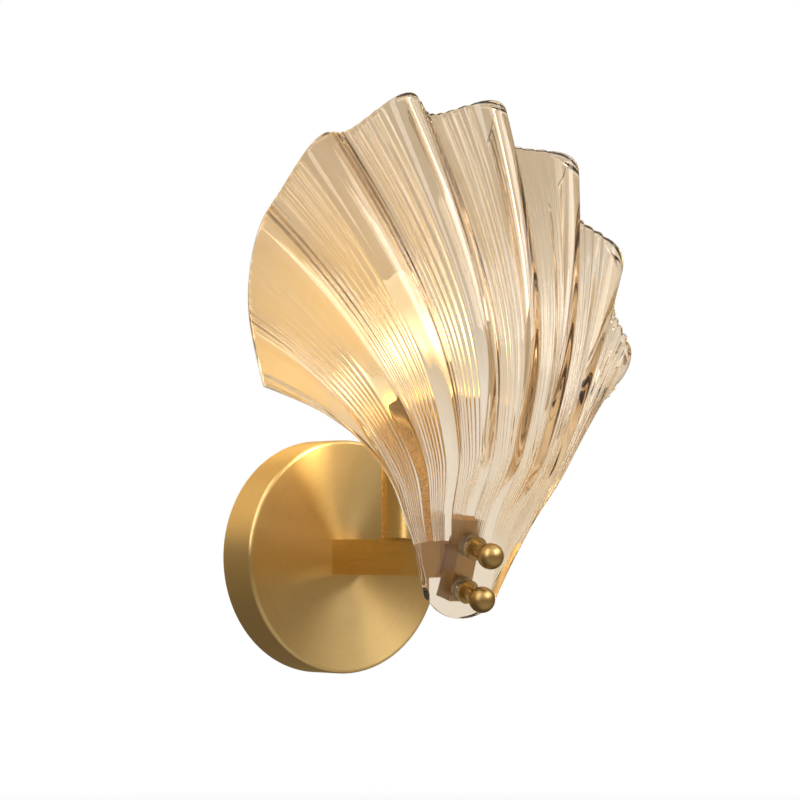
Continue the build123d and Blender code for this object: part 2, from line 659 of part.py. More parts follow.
def skin_rows(below, reeded):
    """Smooth curves across the shell, the given distance below its front."""
    parameters = [(place + 1) / 2 for place in column_places]
    return [
        Edge.make_spline(
            [glass_point(u, row / ROWS, below, reeded) for u in column_places], parameters=parameters
        )
        for row in range(ROWS + 1)
    ]


def strips(rows):
    """Ruled faces between neighbouring curves."""
    return [Face.make_surface_from_curves(*pair) for pair in zip(rows, rows[1:])]


def side_bridges(side):
    """Straight lines through the glass at one end of every row."""
    return [Edge.make_line(front @ side, back @ side) for front, back in zip(front_rows, back_rows)]


front_rows = skin_rows(0, True)
back_rows = skin_rows(GLASS_THICKNESS, False)
glass_faces = strips(front_rows) + strips(back_rows) + strips(side_bridges(0)) + strips(side_bridges(1))
for row in (0, ROWS):
    glass_faces += strips([front_rows[row], back_rows[row]])
glass_body = Solid(Shell(glass_faces))

with BuildPart() as shell_glass:
    add(glass_body)
    with BuildSketch(mount_plane):
        with Locations(*stud_places):
            Circle(GLASS_HOLE_RADIUS)
    extrude(amount=2 * glass_front, mode=Mode.SUBTRACT)
save(shell_glass, "shell_glass")

# ---- front washers and ball nuts ----
for place, name in zip(stud_places, ("lower", "upper")):
    with BuildPart() as front_washer:
        with BuildSketch(mount_plane.offset(washer_back)):
            with Locations(place):
                Circle(FRONT_WASHER_RADIUS)
                Circle(tapped_stud_radius, mode=Mode.SUBTRACT)
        extrude(amount=FRONT_WASHER_THICKNESS)
    save(front_washer, f"{name}_front_washer")

    with BuildPart() as ball_nut:
        with Locations(mount_plane.offset(ball_middle).from_local_coords((*place, 0))):
            Sphere(BALL_RADIUS)
        with BuildSketch(mount_plane.offset(nut_back)):
            with Locations(place):
                Circle(BALL_NECK_RADIUS)
        extrude(amount=BALL_REACH)
        with BuildSketch(mount_plane.offset(nut_back)):
            with Locations(place):
                Circle(tapped_stud_radius)
        extrude(amount=BALL_REACH + STUD_IN_BALL + BALL_BORE_SPARE, mode=Mode.SUBTRACT)
    save(ball_nut, f"{name}_ball_nut")

# ---- terminal block ----
block_bottom = BLOCK_TOP - BLOCK_HEIGHT
block_front = STRAP_THICKNESS + BLOCK_DEPTH
lamp_row = [(x, BLOCK_TOP - TERMINAL_BORE_DEPTH / 2) for x in terminals]
supply_row = [(x, block_bottom + TERMINAL_BORE_DEPTH / 2) for x in terminals]
clamped_tip_depth = wire_depth + WIRE_RADIUS + WIRE_GAP
open_tip_depth = wire_depth + TERMINAL_BORE_RADIUS  # the supply side waits for its wires

with BuildPart() as terminal_block:
    with BuildSketch(facing(STRAP_THICKNESS)):
        with Locations((block_middle, block_screw_z)):
            Rectangle(BLOCK_WIDTH, BLOCK_HEIGHT)
        with Locations((block_screw_x, block_screw_z)):
            Circle(BLOCK_SCREW_RADIUS + HOLE_GAP, mode=Mode.SUBTRACT)
    extrude(amount=BLOCK_DEPTH)
    for height, inward in ((BLOCK_TOP, -1), (block_bottom, 1)):
        with BuildSketch(Plane.XY.offset(height)):
            with Locations(*[(x, -wire_depth) for x in terminals]):
                Circle(TERMINAL_BORE_RADIUS)
        extrude(amount=inward * TERMINAL_BORE_DEPTH, mode=Mode.SUBTRACT)
    with BuildSketch(facing(block_front)):
        with Locations(*lamp_row, *supply_row):
            Circle(TERMINAL_SCREW_RADIUS + THREAD_GAP)
    extrude(amount=wire_depth - block_front, mode=Mode.SUBTRACT)
save(terminal_block, "terminal_block")

with BuildPart() as terminal_screws:
    for row, tip_depth in ((lamp_row, clamped_tip_depth), (supply_row, open_tip_depth)):
        with BuildSketch(facing(tip_depth)):
            with Locations(*row):
                Circle(TERMINAL_SCREW_RADIUS)
        extrude(amount=block_front - TERMINAL_SCREW_SINK - tip_depth)
save(terminal_screws, "terminal_screws")

with BuildPart() as block_screw:
    with BuildSketch(facing(EARTH_SCREW_SINK)):
        with Locations((block_screw_x, block_screw_z)):
            Circle(BLOCK_SCREW_RADIUS)
    extrude(amount=block_front - EARTH_SCREW_SINK)
    with BuildSketch(facing(block_front)):
        with Locations((block_screw_x, block_screw_z)):
            Circle(BLOCK_SCREW_HEAD_RADIUS)
    extrude(amount=BLOCK_SCREW_HEAD_HEIGHT)
save(block_screw, "block_screw")

# ---- earth connection ----
ring_front = STRAP_THICKNESS + EARTH_RING_THICKNESS
barrel_radius = WIRE_RADIUS + WIRE_GAP + EARTH_BARREL_WALL
barrel_depth = STRAP_THICKNESS + barrel_radius
barrel_top = BLOCK_TOP

with BuildPart() as earth_ring:
    with BuildSketch(facing(STRAP_THICKNESS)):
        with Locations((earth_screw_x, earth_screw_z)):
            Circle(EARTH_RING_RADIUS)
            Circle(EARTH_SCREW_RADIUS + HOLE_GAP, mode=Mode.SUBTRACT)
    extrude(amount=EARTH_RING_THICKNESS)
    with BuildSketch(Plane.XY.offset(barrel_top)):
        with Locations((earth_screw_x, -barrel_depth)):
            Circle(barrel_radius)
    extrude(amount=-EARTH_BARREL_LENGTH)
    with BuildSketch(Plane.XY.offset(barrel_top)):
        with Locations((earth_screw_x, -barrel_depth)):
            Circle(WIRE_RADIUS + WIRE_GAP)
    extrude(amount=EARTH_BARREL_ROOT - EARTH_BARREL_LENGTH, mode=Mode.SUBTRACT)
save(earth_ring, "earth_ring")

with BuildPart() as earth_screw:
    with BuildSketch(facing(EARTH_SCREW_SINK)):
        with Locations((earth_screw_x, earth_screw_z)):
            Circle(EARTH_SCREW_RADIUS)
    extrude(amount=ring_front - EARTH_SCREW_SINK)
    with BuildSketch(facing(ring_front)):
        with Locations((earth_screw_x, earth_screw_z)):
            Circle(EARTH_SCREW_HEAD_RADIUS)
    extrude(amount=EARTH_SCREW_HEAD_HEIGHT)
save(earth_screw, "earth_screw")

# ---- wires ----
wire_bottom = BLOCK_TOP - TERMINAL_BORE_DEPTH
wire_top = socket_top + HOLDER_WIRE_DEPTH


def lamp_route(terminal, x):
    """Corners of a wire from its terminal through the arm to the lamp holder."""
    return [
        (terminal, -wire_depth, wire_bottom),
        (terminal, -wire_depth, BLOCK_TOP + WIRE_RISE),
        (x, -wire_depth, -WIRE_LEAD),
        (x, -wire_depth, 0),
        (x, -lamp_depth, 0),
        (x, -lamp_depth, wire_top),
    ]


earth_route = [
    (terminals[2], -wire_depth, wire_bottom),
    (terminals[2], -wire_depth, BLOCK_TOP + EARTH_LOOP_RISE),
    (earth_screw_x, -barrel_depth, BLOCK_TOP + EARTH_LOOP_RISE),
    (earth_screw_x, -barrel_depth, barrel_top - EARTH_BARREL_LENGTH + EARTH_BARREL_ROOT),
]
for name, points, bend in (
    ("neutral_wire", lamp_route(terminals[0], -WIRE_SPACING / 2), WIRE_BEND),
    ("live_wire", lamp_route(terminals[1], WIRE_SPACING / 2), WIRE_BEND),
    ("earth_wire", earth_route, EARTH_LOOP_BEND),
):
    with BuildPart() as wire:
        with BuildLine():
            route = FilletPolyline(*points, radius=bend)
        with BuildSketch(Plane(route @ 0, z_dir=route % 0)):
            Circle(WIRE_RADIUS)
        sweep()
    save(wire, name)
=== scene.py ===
import math

import bpy
import numpy as np
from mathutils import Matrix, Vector


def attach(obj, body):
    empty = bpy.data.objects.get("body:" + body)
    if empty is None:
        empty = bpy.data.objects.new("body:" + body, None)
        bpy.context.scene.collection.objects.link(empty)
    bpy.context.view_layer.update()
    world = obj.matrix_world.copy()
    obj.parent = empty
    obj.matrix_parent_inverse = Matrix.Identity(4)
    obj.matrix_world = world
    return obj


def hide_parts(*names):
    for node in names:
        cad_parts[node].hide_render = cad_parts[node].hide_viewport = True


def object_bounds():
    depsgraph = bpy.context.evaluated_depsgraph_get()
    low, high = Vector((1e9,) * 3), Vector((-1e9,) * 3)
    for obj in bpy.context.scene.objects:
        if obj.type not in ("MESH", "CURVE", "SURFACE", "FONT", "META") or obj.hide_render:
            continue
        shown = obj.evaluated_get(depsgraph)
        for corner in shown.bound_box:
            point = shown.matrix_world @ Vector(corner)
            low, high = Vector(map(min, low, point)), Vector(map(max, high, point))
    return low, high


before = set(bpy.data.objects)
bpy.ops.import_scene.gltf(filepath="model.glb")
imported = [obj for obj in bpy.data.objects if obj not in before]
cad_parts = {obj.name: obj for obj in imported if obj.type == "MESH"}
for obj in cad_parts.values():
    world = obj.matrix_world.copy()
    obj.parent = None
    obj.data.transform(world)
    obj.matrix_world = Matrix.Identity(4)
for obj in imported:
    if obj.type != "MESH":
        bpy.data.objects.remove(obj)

cadLow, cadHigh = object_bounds()
print("frame loaded,", len(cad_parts), "nodes")


def addBody(name, data):
    body = bpy.data.objects.new(name, data)
    bpy.context.scene.collection.objects.link(body)
    return body


def pointAt(body, target):
    body.rotation_mode = "QUATERNION"
    body.rotation_quaternion = (Vector(target) - body.location).to_track_quat("-Z", "Y")


# camera, at the photograph's angle
camera = {
    "azimuth": -36.5, "elevation": -2.3,  # degrees round the light and above the horizon
    "distance": 1.8,
    "target": (0.0336, -0.0249, 0.0815),
    "lens": 155.475, "sensor": 36.0,
    "near": 0.05, "far": 60.0,
}


def placeCamera():
    turn, rise = math.radians(camera["azimuth"]), math.radians(camera["elevation"])
    back = Vector((math.sin(turn) * math.cos(rise), -math.cos(turn) * math.cos(rise), math.sin(rise)))
    data = bpy.data.cameras.new("photoCamera")
    data.lens, data.sensor_width = camera["lens"], camera["sensor"]
    data.clip_start, data.clip_end = camera["near"], camera["far"]
    body = addBody("photoCamera", data)
    body.location = Vector(camera["target"]) + back * camera["distance"]
    pointAt(body, camera["target"])
    bpy.context.scene.camera = body


placeCamera()
bpy.context.scene.view_settings.view_transform = "Standard"


# small helpers for node trees
def feed(tree, socket, value):
    if isinstance(value, bpy.types.NodeSocket):
        tree.links.new(value, socket)
    else:
        socket.default_value = value


def addNode(tree, kind, inputs=None, **settings):
    made = tree.nodes.new(kind)
    for name, value in settings.items():
        setattr(made, name, value)
    for name, value in (inputs or {}).items():
        feed(tree, made.inputs[name], value)
    return made


def mathNode(tree, operation, first, second=0.0, clamp=False):
    made = addNode(tree, "ShaderNodeMath", {0: first, 1: second}, operation=operation, use_clamp=clamp)
    return made.outputs[0]


def times(tree, first, second):
    return mathNode(tree, "MULTIPLY", first, second)


def plus(tree, first, second):
    return mathNode(tree, "ADD", first, second)


def mapRange(tree, value, low, high, toLow=0.0, toHigh=1.0):
    made = addNode(tree, "ShaderNodeMapRange", {"Value": value, "From Min": low, "From Max": high,
                                                "To Min": toLow, "To Max": toHigh})
    return made.outputs["Result"]


def mixColor(tree, share, first, second, blend="MIX"):
    made = addNode(tree, "ShaderNodeMix", data_type="RGBA", blend_type=blend)
    feed(tree, made.inputs[0], share)
    for index, value in ((6, first), (7, second)):  # the node's color sockets
        feed(tree, made.inputs[index], (*value, 1) if isinstance(value, tuple) else value)
    return made.outputs[2]


def noise(tree, place, scale, detail, roughness=0.5, distortion=0.0):
    made = addNode(tree, "ShaderNodeTexNoise", {"Vector": place, "Scale": scale, "Detail": detail,
                                                "Roughness": roughness, "Distortion": distortion})
    return made.outputs["Fac"]


def splitVector(tree, vector):
    return addNode(tree, "ShaderNodeSeparateXYZ", {0: vector}).outputs


def bumpSurface(tree, surface, height, strength, distance):
    bump = addNode(tree, "ShaderNodeBump", {"Height": height, "Strength": strength, "Distance": distance})
    tree.links.new(bump.outputs[0], surface.inputs["Normal"])


def newMaterial(name):
    made = bpy.data.materials.new(name)
    made.use_nodes = True
    tree = made.node_tree
    return made, tree, tree.nodes["Principled BSDF"], addNode(tree, "ShaderNodeTexCoord").outputs["Object"]


def newGroup(name, inputs, outputs):
    group = bpy.data.node_groups.new(name, "ShaderNodeTree")
    group.interface.new_socket(name="Vector", in_out="INPUT", socket_type="NodeSocketVector")
    for label, value in inputs.items():
        socket = group.interface.new_socket(name=label, in_out="INPUT", socket_type="NodeSocketFloat")
        socket.default_value = value
    for label in outputs:
        group.interface.new_socket(name=label, in_out="OUTPUT", socket_type="NodeSocketFloat")
    return group, group.nodes.new("NodeGroupInput").outputs, group.nodes.new("NodeGroupOutput").inputs


def wear(tree, group, place, **inputs):  # a shared effect at a place, with its own values
    made = addNode(tree, "ShaderNodeGroup", node_tree=group)
    feed(tree, made.inputs["Vector"], place)
    for name, value in inputs.items():
        feed(tree, made.inputs[name], value)
    return made.outputs


# brushed or turned streaks
grain = {
    "fineness": 2500.0,  # lines per metre
    "fineDetail": 3.0, "fineRoughness": 0.6, "fineShare": 0.65,
    "broadScale": 0.16, "broadDetail": 2.0,  # the broader streaks, against the fineness
}


def makeGrain():
    group, given, out = newGroup("finishGrain", {"Fineness": grain["fineness"]}, ["Streak"])
    fine = noise(group, given["Vector"], given["Fineness"], grain["fineDetail"], grain["fineRoughness"])
    slow = times(group, given["Fineness"], grain["broadScale"])
    broad = noise(group, given["Vector"], slow, grain["broadDetail"])
    mixed = plus(group, times(group, fine, grain["fineShare"]), times(group, broad, 1 - grain["fineShare"]))
    group.links.new(mixed, out["Streak"])
    return group


# the film and small spots that hands and air leave
film = {
    "scale": 30.0, "amount": 0.5,
    "detail": 5.0, "roughness": 0.55, "distortion": 0.6, "cloudLow": 0.42, "cloudHigh": 0.72,
    "fleckScale": 24.0, "fleckEdge": 0.10, "fleckHeart": 0.05,  # against the film's scale
}


def makeFilm():
    group, given, out = newGroup("handledFilm", {"Scale": film["scale"], "Amount": film["amount"]},
                                 ["Mask", "Fleck"])
    cloud = noise(group, given["Vector"], given["Scale"], film["detail"], film["roughness"],
                  film["distortion"])
    wide = mapRange(group, cloud, film["cloudLow"], film["cloudHigh"])
    quick = times(group, given["Scale"], film["fleckScale"])
    dots = addNode(group, "ShaderNodeTexVoronoi", {"Vector": given["Vector"], "Scale": quick})
    fleck = mapRange(group, dots.outputs["Distance"], film["fleckEdge"], film["fleckHeart"])
    group.links.new(times(group, wide, given["Amount"]), out["Mask"])
    group.links.new(times(group, fleck, given["Amount"]), out["Fleck"])
    return group


# the slight waviness of cast, moulded and blown surfaces
ripple = {
    "scale": 60.0, "detail": 2.0, "roughness": 0.45,
    "smallScale": 5.0, "smallRoughness": 0.5, "smallShare": 0.15,
}


def makeRipple():
    group, given, out = newGroup("castRipple", {"Scale": ripple["scale"]}, ["Height"])
    broad = noise(group, given["Vector"], given["Scale"], ripple["detail"], ripple["roughness"])
    quick = times(group, given["Scale"], ripple["smallScale"])
    small = noise(group, given["Vector"], quick, ripple["detail"], ripple["smallRoughness"])
    mixed = plus(group, times(group, broad, 1 - ripple["smallShare"]),
                 times(group, small, ripple["smallShare"]))
    group.links.new(mixed, out["Height"])
    return group


# edges rubbed bright
edgeRub = {
    "radius": 0.0006, "samples": 4,
    "flat": 0.995, "bent": 0.85,  # how far the rounded normal agrees with the plain one
    "breakScale": 900.0, "breakDetail": 3.0, "breakLow": 0.35, "breakHigh": 0.6,
}


def makeEdgeRub():
    group, given, out = newGroup("edgeRub", {"Radius": edgeRub["radius"]}, ["Mask"])
    rounded = addNode(group, "ShaderNodeBevel", {"Radius": given["Radius"]}, samples=edgeRub["samples"])
    plain = addNode(group, "ShaderNodeNewGeometry").outputs["Normal"]
    same = addNode(group, "ShaderNodeVectorMath", {0: rounded.outputs[0], 1: plain}, operation="DOT_PRODUCT")
    bent = mapRange(group, same.outputs["Value"], edgeRub["flat"], edgeRub["bent"])
    broken = noise(group, given["Vector"], edgeRub["breakScale"], edgeRub["breakDetail"])
    broken = mapRange(group, broken, edgeRub["breakLow"], edgeRub["breakHigh"])
    group.links.new(times(group, bent, broken), out["Mask"])
    return group


# dust on what faces up
dust = {
    "amount": 0.3, "slopeLow": 0.35, "slopeHigh": 1.0,
    "scale": 700.0, "detail": 4.0, "speckleLow": 0.35, "speckleHigh": 0.75,
}


def makeDust():
    group, given, out = newGroup("settledDust", {"Amount": dust["amount"]}, ["Mask"])
    upward = splitVector(group, addNode(group, "ShaderNodeNewGeometry").outputs["Normal"])["Z"]
    speckle = noise(group, given["Vector"], dust["scale"], dust["detail"])
    lying = times(group, mapRange(group, upward, dust["slopeLow"], dust["slopeHigh"]),
                  mapRange(group, speckle, dust["speckleLow"], dust["speckleHigh"]))
    group.links.new(times(group, lying, given["Amount"]), out["Mask"])
    return group


grainGroup, filmGroup, rippleGroup = makeGrain(), makeFilm(), makeRipple()
edgeGroup, dustGroup = makeEdgeRub(), makeDust()
print("shared effects made")


# metals: fineness is in lines per metre, film and bump are shares
metals = {
    "brushedDisc": dict(color=(0.83, 0.61, 0.28), tarnish=(0.72, 0.49, 0.19), roughness=0.33,
                        lay="disc", fineness=2600, anisotropy=0.90, film=0.25, bump=0.10),
    "brushedArm": dict(color=(0.80, 0.55, 0.21), tarnish=(0.66, 0.42, 0.13), roughness=0.30,
                       lay="alongY", fineness=2600, anisotropy=0.60, film=0.35, bump=0.10),
    "brushedCup": dict(color=(0.82, 0.55, 0.21), tarnish=(0.66, 0.42, 0.13), roughness=0.27,
                       lay="lampAxis", fineness=2600, anisotropy=0.60, film=0.12, bump=0.02),
    "satinBrass": dict(color=(0.54, 0.37, 0.15), tarnish=(0.30, 0.19, 0.07), roughness=0.33,
                       lay="cast", fineness=1500, anisotropy=0.0, film=0.8, bump=0.12),
    # the bracket's brass is a darker copy of the arm's: painted shade for its place behind the glass
    "bracketBrassPaintedShade": dict(color=(0.44, 0.27, 0.07), tarnish=(0.26, 0.15, 0.05), roughness=0.42,
                         lay="alongZ", fineness=2200, anisotropy=0.5, film=0.7, bump=0.12),
    "turnedBrass": dict(color=(0.80, 0.60, 0.26), tarnish=(0.50, 0.34, 0.12), roughness=0.22,
                        lay="alongZ", fineness=3000, anisotropy=0.0, film=0.4, bump=0.06),
    "brassScrew": dict(color=(0.76, 0.56, 0.25), tarnish=(0.44, 0.30, 0.11), roughness=0.26,
                       lay="cast", fineness=2500, anisotropy=0.0, film=0.5, bump=0.08),
    "zincSteel": dict(color=(0.68, 0.70, 0.73), tarnish=(0.52, 0.50, 0.45), roughness=0.34,
                      lay="cast", fineness=1300, anisotropy=0.0, film=0.7, bump=0.12),
    "nickelPlate": dict(color=(0.74, 0.71, 0.66), tarnish=(0.52, 0.47, 0.40), roughness=0.18,
                        lay="lampAxis", fineness=3000, anisotropy=0.3, film=0.4, bump=0.05),
    "solderTip": dict(color=(0.62, 0.62, 0.63), tarnish=(0.38, 0.37, 0.36), roughness=0.42,
                      lay="cast", fineness=900, anisotropy=0.0, film=0.9, bump=0.25),
    "tinnedCopper": dict(color=(0.78, 0.50, 0.36), tarnish=(0.46, 0.27, 0.18), roughness=0.30,
                         lay="cast", fineness=1800, anisotropy=0.0, film=0.6, bump=0.10),
}
metalWear = {
    "filmScale": 34.0, "fleckShare": 0.18, "filmRoughness": 0.12,
    "streakLow": 0.3, "streakHigh": 0.7, "streakShade": 0.72, "streakShare": 0.30, "streakRoughness": 0.05,
    "rubShare": 0.5, "rubGain": 1.18, "rubLift": 0.04,
    "bumpDistance": 0.00008, "layTurn": 0.25,  # a quarter turn, so that a highlight crosses the lines
}
lays = {
    "lampDepth": -0.081, "aroundScale": 0.004,  # the lamp's axis in y; how slowly a ring changes along itself
    "alongY": (1, 0.02, 1), "alongZ": (1, 1, 0.02), "cast": (1, 1, 1),
}


def grainVector(tree, lay, place):  # the place, drawn out along the lines of the finish
    if lay not in ("disc", "lampAxis"):
        drawn = addNode(tree, "ShaderNodeVectorMath", {0: place, 1: lays[lay]}, operation="MULTIPLY")
        return drawn.outputs[0]
    split = splitVector(tree, place)
    first, second, along = split["X"], split["Z"], split["Y"]
    if lay == "lampAxis":
        second, along = mathNode(tree, "SUBTRACT", split["Y"], lays["lampDepth"]), split["Z"]
    radius = mathNode(tree, "SQRT", plus(tree, times(tree, first, first), times(tree, second, second)))
    around = times(tree, mathNode(tree, "ARCTAN2", second, first), lays["aroundScale"])
    return addNode(tree, "ShaderNodeCombineXYZ", {0: plus(tree, radius, along), 1: around}).outputs[0]


def layTangent(tree, lay):
    if lay in ("disc", "lampAxis"):
        axis = "Y" if lay == "disc" else "Z"
        return addNode(tree, "ShaderNodeTangent", direction_type="RADIAL", axis=axis).outputs[0]
    straight = {1: float(lay == "alongY"), 2: float(lay == "alongZ")}
    return addNode(tree, "ShaderNodeCombineXYZ", straight).outputs[0]


def makeMetal(name, spec):
    material, tree, surface, place = newMaterial(name)
    streak = wear(tree, grainGroup, grainVector(tree, spec["lay"], place),
                  Fineness=float(spec["fineness"]))["Streak"]
    handled = wear(tree, filmGroup, place, Scale=metalWear["filmScale"], Amount=spec["film"])
    rub = wear(tree, edgeGroup, place)["Mask"]
    shade = tuple(metalWear["streakShade"] * part for part in spec["color"])
    bright = tuple(min(1.0, metalWear["rubGain"] * part + metalWear["rubLift"]) for part in spec["color"])
    tone = mixColor(tree, handled["Mask"], spec["color"], spec["tarnish"])
    tone = mixColor(tree, mapRange(tree, streak, metalWear["streakLow"], metalWear["streakHigh"], 0.0,
                                   metalWear["streakShare"]), tone, shade)
    tone = mixColor(tree, times(tree, handled["Fleck"], metalWear["fleckShare"]), tone, spec["tarnish"])
    tone = mixColor(tree, times(tree, rub, metalWear["rubShare"]), tone, bright)
    tree.links.new(tone, surface.inputs["Base Color"])
    rough = mapRange(tree, streak, metalWear["streakLow"], metalWear["streakHigh"],
                     spec["roughness"] - metalWear["streakRoughness"],
                     spec["roughness"] + metalWear["streakRoughness"])
    rough = plus(tree, rough, times(tree, handled["Mask"], metalWear["filmRoughness"]))
    tree.links.new(rough, surface.inputs["Roughness"])
    surface.inputs["Metallic"].default_value = 1.0
    bumpSurface(tree, surface, streak, spec["bump"], metalWear["bumpDistance"])
    if spec["anisotropy"]:
        surface.inputs["Anisotropic"].default_value = spec["anisotropy"]
        surface.inputs["Anisotropic Rotation"].default_value = metalWear["layTurn"]
        tree.links.new(layTangent(tree, spec["lay"]), surface.inputs["Tangent"])
    return material


# ceramic, plastic, rubber and insulation
plains = {
    "glazedCeramic": dict(color=(0.84, 0.82, 0.76), second=(0.74, 0.70, 0.61), roughness=0.16,
                          coat=0.5, ripple=220, bump=0.20, dust=0.3, sheer=0.0),
    "blockPlastic": dict(color=(0.82, 0.81, 0.77), second=(0.70, 0.67, 0.58), roughness=0.46,
                         coat=0.0, ripple=900, bump=0.20, dust=0.3, sheer=0.0),
    "siliconeRubber": dict(color=(0.82, 0.80, 0.74), second=(0.66, 0.62, 0.52), roughness=0.42,
                           coat=0.0, ripple=700, bump=0.16, dust=0.1, sheer=0.6),
    "tipInsulator": dict(color=(0.020, 0.020, 0.024), second=(0.05, 0.045, 0.04), roughness=0.12,
                         coat=0.4, ripple=500, bump=0.15, dust=0.1, sheer=0.0),
    "blueInsulation": dict(color=(0.030, 0.10, 0.42), second=(0.02, 0.07, 0.28), roughness=0.38,
                           coat=0.0, ripple=800, bump=0.14, dust=0.2, sheer=0.0),
    "brownInsulation": dict(color=(0.16, 0.07, 0.035), second=(0.10, 0.042, 0.02), roughness=0.38,
                            coat=0.0, ripple=800, bump=0.14, dust=0.2, sheer=0.0),
    "earthInsulation": dict(color=(0.10, 0.34, 0.05), second=(0.72, 0.62, 0.05), roughness=0.38,
                            coat=0.0, ripple=800, bump=0.14, dust=0.2, sheer=0.0),
}
plainWear = {
    "filmScale": 60.0, "filmAmount": 0.7, "filmRoughness": 0.10,
    "fleckShare": 0.2, "fleckColor": (0.30, 0.26, 0.20),
    "dustColor": (0.62, 0.59, 0.54), "dustRoughness": 0.35,
    "stripeScale": 90.0, "stripeLow": 0.55, "stripeHigh": 0.6,  # the two colors of the earth wire
    "bumpDistance": 0.0004,
}


def makePlain(name, spec):
    material, tree, surface, place = newMaterial(name)
    handled = wear(tree, filmGroup, place, Scale=plainWear["filmScale"], Amount=plainWear["filmAmount"])
    lying = wear(tree, dustGroup, place, Amount=spec["dust"])["Mask"]
    share = handled["Mask"]
    if name == "earthInsulation":
        stripe = addNode(tree, "ShaderNodeTexWave", {"Vector": place, "Scale": plainWear["stripeScale"]},
                         wave_type="BANDS", bands_direction="DIAGONAL")
        share = mapRange(tree, stripe.outputs["Fac"], plainWear["stripeLow"], plainWear["stripeHigh"])
    tone = mixColor(tree, share, spec["color"], spec["second"])
    fleck = times(tree, handled["Fleck"], plainWear["fleckShare"])
    tone = mixColor(tree, fleck, tone, plainWear["fleckColor"])
    tone = mixColor(tree, lying, tone, plainWear["dustColor"])
    tree.links.new(tone, surface.inputs["Base Color"])
    rough = mapRange(tree, handled["Mask"], 0.0, plainWear["filmAmount"], spec["roughness"],
                     spec["roughness"] + plainWear["filmRoughness"])
    rough = plus(tree, rough, times(tree, lying, plainWear["dustRoughness"]))
    tree.links.new(rough, surface.inputs["Roughness"])
    surface.inputs["Coat Weight"].default_value = spec["coat"]
    surface.inputs["Transmission Weight"].default_value = spec["sheer"]
    height = wear(tree, rippleGroup, place, Scale=float(spec["ripple"]))["Height"]
    bumpSurface(tree, surface, height, spec["bump"], plainWear["bumpDistance"])
    return material


# lit bulb
bulb = {
    "glow": (1.0, 0.72, 0.24), "strength": 21.0,  # what the bulb throws on the things round it
    "seenCore": 0.20, "seenEdge": 0.020,  # shares of it in the bulb's own face
    "centre": 0.107, "reach": 0.022,  # height of the brightest place, and how far it fades
    "rimOn": 0.05, "rimOff": 0.75, "fade": 1.8,  # how the face dims towards its outline
    "seenGlow": (1.0, 0.84, 0.48), "filmGlow": (0.90, 0.62, 0.30), "filmShare": 0.3,
    "color": (0.92, 0.88, 0.80), "filmColor": (0.84, 0.76, 0.62), "filmScale": 70.0, "film": 0.4,
    "roughness": 0.30, "filmRoughness": 0.42,
    "rippleScale": 260.0, "ripple": 0.05, "rippleDistance": 0.0003,
}


def makeBulbGlass():
    material, tree, surface, place = newMaterial("opalBulb")
    handled = wear(tree, filmGroup, place, Scale=bulb["filmScale"], Amount=bulb["film"])["Mask"]
    above = mathNode(tree, "SUBTRACT", splitVector(tree, place)["Z"], bulb["centre"])
    away = mathNode(tree, "ABSOLUTE", above)
    middle = mapRange(tree, away, 0.0, bulb["reach"], 1.0, 0.0)
    facing = addNode(tree, "ShaderNodeLayerWeight", {"Blend": 0.5}).outputs["Facing"]
    front = mapRange(tree, facing, bulb["rimOn"], bulb["rimOff"], 1.0, 0.0)
    core = mathNode(tree, "POWER", times(tree, middle, front), bulb["fade"])
    share = mapRange(tree, core, 0.0, 1.0, bulb["seenEdge"], bulb["seenCore"])
    ray = addNode(tree, "ShaderNodeLightPath").outputs
    watched = mathNode(tree, "MAXIMUM", ray["Is Camera Ray"], ray["Is Transmission Ray"])
    mirrored = mathNode(tree, "MAXIMUM", watched, ray["Is Glossy Ray"])
    share = plus(tree, times(tree, watched, share), mathNode(tree, "SUBTRACT", 1.0, watched))
    tone = mixColor(tree, mirrored, bulb["glow"], bulb["seenGlow"])
    tone = mixColor(tree, times(tree, handled, bulb["filmShare"]), tone, bulb["filmGlow"])
    level = addNode(tree, "ShaderNodeCombineColor", {0: share, 1: share, 2: share}).outputs[0]
    tree.links.new(mixColor(tree, 1.0, tone, level, "MULTIPLY"), surface.inputs["Emission Color"])
    surface.inputs["Emission Strength"].default_value = bulb["strength"]
    tree.links.new(mixColor(tree, handled, bulb["color"], bulb["filmColor"]), surface.inputs["Base Color"])
    rough = mapRange(tree, handled, 0.0, bulb["film"], bulb["roughness"], bulb["filmRoughness"])
    tree.links.new(rough, surface.inputs["Roughness"])
    height = wear(tree, rippleGroup, place, Scale=bulb["rippleScale"])["Height"]
    bumpSurface(tree, surface, height, bulb["ripple"], bulb["rippleDistance"])
    return material


# glass stem inside the bulb
stem = {
    "color": (0.94, 0.95, 0.94), "filmColor": (0.84, 0.84, 0.80), "filmScale": 80.0, "film": 0.5,
    "roughness": 0.03, "filmRoughness": 0.12,
    "rippleScale": 300.0, "ripple": 0.08, "rippleDistance": 0.0004,
}


def makeStemGlass():
    material, tree, surface, place = newMaterial("stemGlass")
    handled = wear(tree, filmGroup, place, Scale=stem["filmScale"], Amount=stem["film"])["Mask"]
    tree.links.new(mixColor(tree, handled, stem["color"], stem["filmColor"]), surface.inputs["Base Color"])
    rough = mapRange(tree, handled, 0.0, stem["film"], stem["roughness"], stem["filmRoughness"])
    tree.links.new(rough, surface.inputs["Roughness"])
    surface.inputs["Transmission Weight"].default_value = 1.0
    height = wear(tree, rippleGroup, place, Scale=stem["rippleScale"])["Height"]
    bumpSurface(tree, surface, height, stem["ripple"], stem["rippleDistance"])
    return material


# the bulb's filaments
filament = {
    "color": (1.0, 0.72, 0.22), "beadColor": (0.85, 0.50, 0.12), "filmColor": (1.0, 0.85, 0.5),
    "beadScale": 900.0, "beadLow": 0.1, "beadHigh": 0.6,
    "filmScale": 200.0, "film": 0.6, "roughness": 0.45, "filmRoughness": 0.6,
    "strength": 4.0, "bump": 0.3, "bumpDistance": 0.0002,
}


